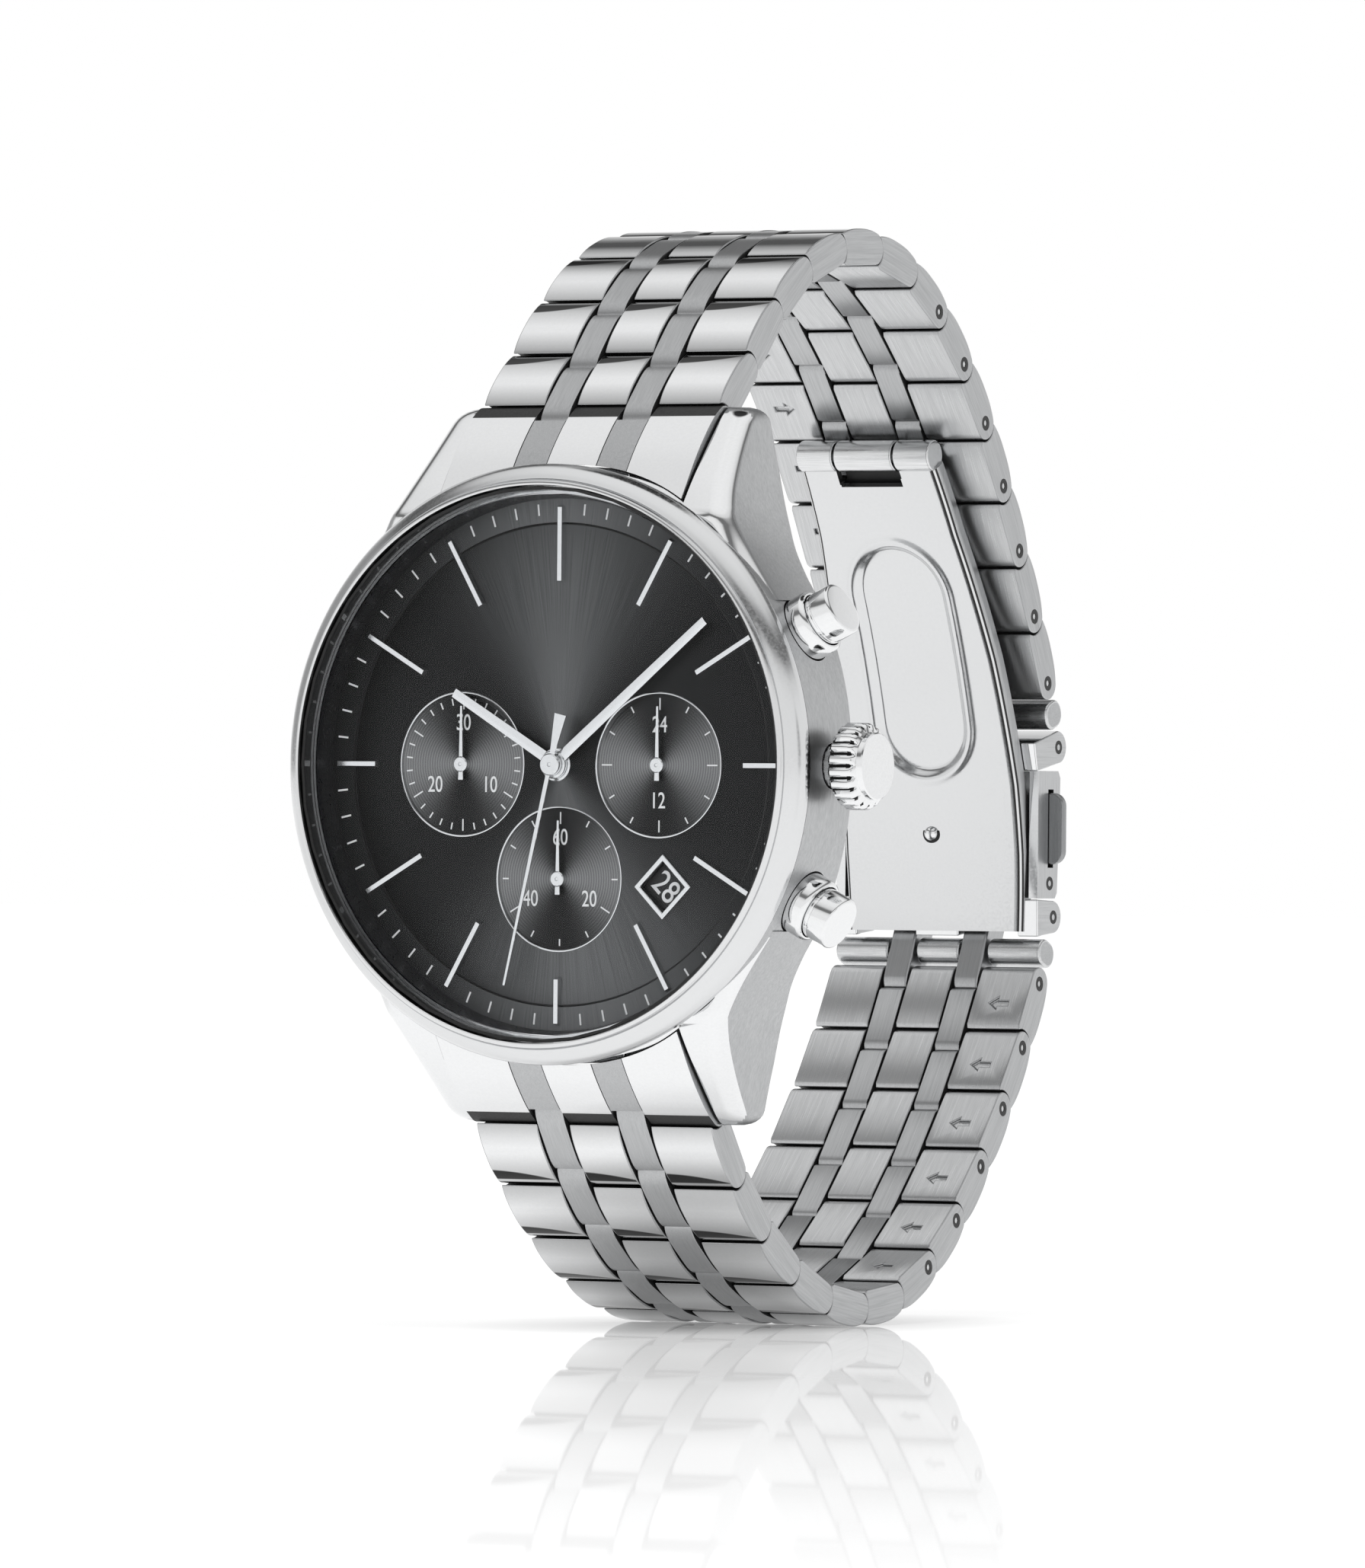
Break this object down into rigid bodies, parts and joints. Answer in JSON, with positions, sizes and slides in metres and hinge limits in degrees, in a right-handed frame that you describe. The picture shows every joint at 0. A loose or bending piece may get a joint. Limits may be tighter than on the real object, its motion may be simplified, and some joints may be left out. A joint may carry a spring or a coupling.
{
  "type": "chronograph wristwatch",
  "caption": "Round steel chronograph wristwatch with black dial, sub-dials, crown and push-pieces on a linked steel bracelet with a folding clasp.",
  "frame": {"origin": "centre of the case back's flat face, on the axis of the hands", "axes": "+Z towards 12 o'clock on the dial, +X towards the crown at 3 o'clock, +Y out of the case back towards the wrist"},
  "size_m": [0.0455, 0.0612, 0.0782],
  "materials": {
    "polished_steel": "mirror-polished stainless steel",
    "brushed_steel": "brushed stainless steel",
    "crystal": "clear flat mineral glass",
    "gasket": "matt",
    "dial_black": "sunray black lacquer",
    "date_print": "matt black with white numerals",
    "movement_plate": "matt nickel plate",
    "hands": "polished"
  },
  "bodies": {
    "case": {"mid_case": "brushed_steel", "bezel": "polished_steel", "crystal": "crystal", "crystal_gasket": "gasket", "case_back": "polished_steel", "dial": "dial_black", "dial_flange": "dial_black", "movement": "movement_plate", "crown_tube": "brushed_steel", "pusher_collar_2": "polished_steel", "pusher_collar_4": "polished_steel", "end_link_12": "polished_steel", "end_link_6": "polished_steel", "spring_bar_12": "brushed_steel", "spring_bar_6": "brushed_steel"},
    "upper_row_01": {"upper_row_01": "brushed_steel"},
    "upper_row_02": {"upper_row_02": "brushed_steel"},
    "upper_row_03": {"upper_row_03": "brushed_steel"},
    "upper_row_04": {"upper_row_04": "brushed_steel"},
    "upper_row_05": {"upper_row_05": "brushed_steel"},
    "upper_row_06": {"upper_row_06": "brushed_steel"},
    "upper_row_07": {"upper_row_07": "brushed_steel"},
    "upper_row_08": {"upper_row_08": "brushed_steel"},
    "upper_row_09": {"upper_row_09": "brushed_steel"},
    "upper_row_10": {"upper_row_10": "brushed_steel"},
    "upper_row_11": {"upper_row_11": "brushed_steel"},
    "upper_row_12": {"upper_row_12": "brushed_steel"},
    "upper_row_13": {"upper_row_13": "brushed_steel"},
    "upper_half_link": {"upper_half_link": "brushed_steel"},
    "lower_row_01": {"lower_row_01": "brushed_steel"},
    "lower_row_02": {"lower_row_02": "brushed_steel"},
    "lower_row_03": {"lower_row_03": "brushed_steel"},
    "lower_row_04": {"lower_row_04": "brushed_steel"},
    "lower_row_05": {"lower_row_05": "brushed_steel"},
    "lower_row_06": {"lower_row_06": "brushed_steel"},
    "lower_row_07": {"lower_row_07": "brushed_steel"},
    "lower_row_08": {"lower_row_08": "brushed_steel"},
    "lower_row_09": {"lower_row_09": "brushed_steel"},
    "lower_row_10": {"lower_row_10": "brushed_steel"},
    "lower_row_11": {"lower_row_11": "brushed_steel"},
    "lower_row_12": {"lower_row_12": "brushed_steel"},
    "lower_half_link": {"lower_half_link": "brushed_steel"},
    "clasp_blade": {"clasp_outer_blade": "brushed_steel", "clasp_cover": "polished_steel"},
    "clasp_plate": {"clasp_inner_plate": "polished_steel", "clasp_hinge_pin": "brushed_steel"},
    "clasp_button_right": {"clasp_button_3": "brushed_steel"},
    "clasp_button_left": {"clasp_button_9": "brushed_steel"},
    "minute_hand": {"minute_hand": "hands"},
    "hour_hand": {"hour_hand": "hands"},
    "chrono_seconds_hand": {"chrono_seconds_hand": "hands"},
    "small_minutes_hand": {"small_minutes_hand": "hands"},
    "small_hours_hand": {"small_hours_hand": "hands"},
    "small_seconds_hand": {"small_seconds_hand": "hands"},
    "date_disc": {"date_disc": "date_print"},
    "crown_slide": {"crown_gasket": "gasket"},
    "crown": {"crown": "polished_steel", "winding_stem": "brushed_steel"},
    "pusher_2": {"pusher_2": "polished_steel"},
    "pusher_4": {"pusher_4": "polished_steel"}
  },
  "joints": [
    {"name": "upper_strap_unroll", "type": "hinge", "parent": "case", "child": "upper_row_01", "pos_m": [0, -0.0028, 0.024], "axis": [1, 0, 0], "range_deg": [0, 44.5]},
    {"name": "upper_row_02_hinge", "type": "hinge", "parent": "upper_row_01", "child": "upper_row_02", "pos_m": [0, 0.00094, 0.0278], "axis": [1, 0, 0], "range_deg": [-1.02, 0]},
    {"name": "upper_row_03_hinge", "type": "hinge", "parent": "upper_row_02", "child": "upper_row_03", "pos_m": [0, 0.0046, 0.03167], "axis": [1, 0, 0], "range_deg": [0, 9.02]},
    {"name": "upper_row_04_hinge", "type": "hinge", "parent": "upper_row_03", "child": "upper_row_04", "pos_m": [0, 0.00883, 0.03491], "axis": [1, 0, 0], "range_deg": [0, 17.02]},
    {"name": "upper_row_05_hinge", "type": "hinge", "parent": "upper_row_04", "child": "upper_row_05", "pos_m": [0, 0.01383, 0.03678], "axis": [1, 0, 0], "range_deg": [0, 17.52]},
    {"name": "upper_row_06_hinge", "type": "hinge", "parent": "upper_row_05", "child": "upper_row_06", "pos_m": [0, 0.01915, 0.03706], "axis": [1, 0, 0], "range_deg": [0, 17.52]},
    {"name": "upper_row_07_hinge", "type": "hinge", "parent": "upper_row_06", "child": "upper_row_07", "pos_m": [0, 0.02431, 0.03572], "axis": [1, 0, 0], "range_deg": [0, 17.02]},
    {"name": "upper_row_08_hinge", "type": "hinge", "parent": "upper_row_07", "child": "upper_row_08", "pos_m": [0, 0.02885, 0.03294], "axis": [1, 0, 0], "range_deg": [0, 11.52]},
    {"name": "upper_row_09_hinge", "type": "hinge", "parent": "upper_row_08", "child": "upper_row_09", "pos_m": [0, 0.03275, 0.0293], "axis": [1, 0, 0], "range_deg": [0, 8.02]},
    {"name": "upper_row_10_hinge", "type": "hinge", "parent": "upper_row_09", "child": "upper_row_10", "pos_m": [0, 0.03611, 0.02516], "axis": [1, 0, 0], "range_deg": [0, 6.02]},
    {"name": "upper_row_11_hinge", "type": "hinge", "parent": "upper_row_10", "child": "upper_row_11", "pos_m": [0, 0.03901, 0.02069], "axis": [1, 0, 0], "range_deg": [0, 3.52]},
    {"name": "upper_row_12_hinge", "type": "hinge", "parent": "upper_row_11", "child": "upper_row_12", "pos_m": [0, 0.04163, 0.01605], "axis": [1, 0, 0], "range_deg": [0, 2.02]},
    {"name": "upper_row_13_hinge", "type": "hinge", "parent": "upper_row_12", "child": "upper_row_13", "pos_m": [0, 0.04409, 0.01132], "axis": [1, 0, 0], "range_deg": [0, 2.52]},
    {"name": "upper_half_link_hinge", "type": "hinge", "parent": "upper_row_13", "child": "upper_half_link", "pos_m": [0, 0.04635, 0.00649], "axis": [1, 0, 0], "range_deg": [0, 3.52]},
    {"name": "lower_strap_unroll", "type": "hinge", "parent": "case", "child": "lower_row_01", "pos_m": [0, -0.0028, -0.024], "axis": [-1, 0, 0], "range_deg": [0, 35]},
    {"name": "lower_row_02_hinge", "type": "hinge", "parent": "lower_row_01", "child": "lower_row_02", "pos_m": [0, 0.00026, -0.02837], "axis": [-1, 0, 0], "range_deg": [0, 9.52]},
    {"name": "lower_row_03_hinge", "type": "hinge", "parent": "lower_row_02", "child": "lower_row_03", "pos_m": [0, 0.00399, -0.03217], "axis": [-1, 0, 0], "range_deg": [0, 9.52]},
    {"name": "lower_row_04_hinge", "type": "hinge", "parent": "lower_row_03", "child": "lower_row_04", "pos_m": [0, 0.00831, -0.0353], "axis": [-1, 0, 0], "range_deg": [0, 11.52]},
    {"name": "lower_row_05_hinge", "type": "hinge", "parent": "lower_row_04", "child": "lower_row_05", "pos_m": [0, 0.01316, -0.03751], "axis": [-1, 0, 0], "range_deg": [0, 14.52]},
    {"name": "lower_row_06_hinge", "type": "hinge", "parent": "lower_row_05", "child": "lower_row_06", "pos_m": [0, 0.0184, -0.03844], "axis": [-1, 0, 0], "range_deg": [0, 16.02]},
    {"name": "lower_row_07_hinge", "type": "hinge", "parent": "lower_row_06", "child": "lower_row_07", "pos_m": [0, 0.02371, -0.03788], "axis": [-1, 0, 0], "range_deg": [0, 18.02]},
    {"name": "lower_row_08_hinge", "type": "hinge", "parent": "lower_row_07", "child": "lower_row_08", "pos_m": [0, 0.02857, -0.03571], "axis": [-1, 0, 0], "range_deg": [0, 14.02]},
    {"name": "lower_row_09_hinge", "type": "hinge", "parent": "lower_row_08", "child": "lower_row_09", "pos_m": [0, 0.03277, -0.03243], "axis": [-1, 0, 0], "range_deg": [0, 8.02]},
    {"name": "lower_row_10_hinge", "type": "hinge", "parent": "lower_row_09", "child": "lower_row_10", "pos_m": [0, 0.03648, -0.0286], "axis": [-1, 0, 0], "range_deg": [0, 5.02]},
    {"name": "lower_row_11_hinge", "type": "hinge", "parent": "lower_row_10", "child": "lower_row_11", "pos_m": [0, 0.03983, -0.02445], "axis": [-1, 0, 0], "range_deg": [0, 4.52]},
    {"name": "lower_row_12_hinge", "type": "hinge", "parent": "lower_row_11", "child": "lower_row_12", "pos_m": [0, 0.04285, -0.02006], "axis": [-1, 0, 0], "range_deg": [0, 5.02]},
    {"name": "lower_half_link_hinge", "type": "hinge", "parent": "lower_row_12", "child": "lower_half_link", "pos_m": [0, 0.04547, -0.01542], "axis": [-1, 0, 0], "range_deg": [0, 6.02]},
    {"name": "clasp_blade_pivot", "type": "hinge", "parent": "upper_half_link", "child": "clasp_blade", "pos_m": [0, 0.04818, 0.00184], "axis": [1, 0, 0], "range_deg": [0, 60.02]},
    {"name": "clasp_fold", "type": "hinge", "parent": "clasp_blade", "child": "clasp_plate", "pos_m": [0, 0.03471, 0.02281], "axis": [-1, 0, 0], "range_deg": [0, 160.02]},
    {"name": "clasp_button_right_press", "type": "slide", "parent": "clasp_blade", "child": "clasp_button_right", "axis": [-1, 0, 0], "range_m": [0, 0.0008], "stiffness_N_per_m": 600, "springref_m": -0.0004},
    {"name": "clasp_button_left_press", "type": "slide", "parent": "clasp_blade", "child": "clasp_button_left", "axis": [1, 0, 0], "range_m": [0, 0.0008], "stiffness_N_per_m": 600, "springref_m": -0.0004},
    {"name": "minute_hand_turn", "type": "hinge", "parent": "case", "child": "minute_hand", "pos_m": [0, -0.0084, 0], "axis": [0, 1, 0], "continuous": true},
    {"name": "hour_hand_turn", "type": "hinge", "parent": "case", "child": "hour_hand", "pos_m": [0, -0.0084, 0], "axis": [0, 1, 0], "continuous": true},
    {"name": "chrono_seconds_turn", "type": "hinge", "parent": "case", "child": "chrono_seconds_hand", "pos_m": [0, -0.0084, 0], "axis": [0, 1, 0], "continuous": true},
    {"name": "small_minutes_turn", "type": "hinge", "parent": "case", "child": "small_minutes_hand", "pos_m": [-0.008, -0.0084, 0], "axis": [0, 1, 0], "continuous": true},
    {"name": "small_hours_turn", "type": "hinge", "parent": "case", "child": "small_hours_hand", "pos_m": [0.008, -0.0084, 0], "axis": [0, 1, 0], "continuous": true},
    {"name": "small_seconds_turn", "type": "hinge", "parent": "case", "child": "small_seconds_hand", "pos_m": [0, -0.0084, -0.008], "axis": [0, 1, 0], "continuous": true},
    {"name": "date_disc_turn", "type": "hinge", "parent": "case", "child": "date_disc", "pos_m": [0, -0.0084, 0], "axis": [0, 1, 0], "continuous": true},
    {"name": "crown_pull", "type": "slide", "parent": "case", "child": "crown_slide", "axis": [1, 0, 0], "range_m": [0, 0.0012]},
    {"name": "crown_turn", "type": "hinge", "parent": "crown_slide", "child": "crown", "pos_m": [0.02, -0.0063, 0], "axis": [1, 0, 0], "continuous": true},
    {"name": "pusher_2_press", "type": "slide", "parent": "case", "child": "pusher_2", "axis": [-0.891, 0, -0.454], "range_m": [0, 0.001], "stiffness_N_per_m": 1500, "springref_m": -0.0005},
    {"name": "pusher_4_press", "type": "slide", "parent": "case", "child": "pusher_4", "axis": [-0.891, 0, 0.454], "range_m": [0, 0.001], "stiffness_N_per_m": 1500, "springref_m": -0.0005}
  ],
  "couplings": [
    {"joint": "upper_row_02_hinge", "follows": "upper_strap_unroll", "ratio": -0.022472},
    {"joint": "upper_row_03_hinge", "follows": "upper_strap_unroll", "ratio": 0.20225},
    {"joint": "upper_row_04_hinge", "follows": "upper_strap_unroll", "ratio": 0.38202},
    {"joint": "upper_row_05_hinge", "follows": "upper_strap_unroll", "ratio": 0.39326},
    {"joint": "upper_row_06_hinge", "follows": "upper_strap_unroll", "ratio": 0.39326},
    {"joint": "upper_row_07_hinge", "follows": "upper_strap_unroll", "ratio": 0.38202},
    {"joint": "upper_row_08_hinge", "follows": "upper_strap_unroll", "ratio": 0.25843},
    {"joint": "upper_row_09_hinge", "follows": "upper_strap_unroll", "ratio": 0.17977},
    {"joint": "upper_row_10_hinge", "follows": "upper_strap_unroll", "ratio": 0.13483},
    {"joint": "upper_row_11_hinge", "follows": "upper_strap_unroll", "ratio": 0.078652},
    {"joint": "upper_row_12_hinge", "follows": "upper_strap_unroll", "ratio": 0.044944},
    {"joint": "upper_row_13_hinge", "follows": "upper_strap_unroll", "ratio": 0.05618},
    {"joint": "upper_half_link_hinge", "follows": "upper_strap_unroll", "ratio": 0.078652},
    {"joint": "lower_row_02_hinge", "follows": "lower_strap_unroll", "ratio": 0.27143},
    {"joint": "lower_row_03_hinge", "follows": "lower_strap_unroll", "ratio": 0.27143},
    {"joint": "lower_row_04_hinge", "follows": "lower_strap_unroll", "ratio": 0.32857},
    {"joint": "lower_row_05_hinge", "follows": "lower_strap_unroll", "ratio": 0.41429},
    {"joint": "lower_row_06_hinge", "follows": "lower_strap_unroll", "ratio": 0.45714},
    {"joint": "lower_row_07_hinge", "follows": "lower_strap_unroll", "ratio": 0.51429},
    {"joint": "lower_row_08_hinge", "follows": "lower_strap_unroll", "ratio": 0.4},
    {"joint": "lower_row_09_hinge", "follows": "lower_strap_unroll", "ratio": 0.22857},
    {"joint": "lower_row_10_hinge", "follows": "lower_strap_unroll", "ratio": 0.14286},
    {"joint": "lower_row_11_hinge", "follows": "lower_strap_unroll", "ratio": 0.12857},
    {"joint": "lower_row_12_hinge", "follows": "lower_strap_unroll", "ratio": 0.14286},
    {"joint": "lower_half_link_hinge", "follows": "lower_strap_unroll", "ratio": 0.17143},
    {"joint": "clasp_blade_pivot", "follows": "upper_strap_unroll", "ratio": 1.3483},
    {"joint": "clasp_fold", "follows": "upper_strap_unroll", "ratio": 3.5955},
    {"joint": "hour_hand_turn", "follows": "minute_hand_turn", "ratio": 0.083333},
    {"joint": "small_minutes_turn", "follows": "chrono_seconds_turn", "ratio": 0.033333},
    {"joint": "small_hours_turn", "follows": "minute_hand_turn", "ratio": 0.041667}
  ]
}
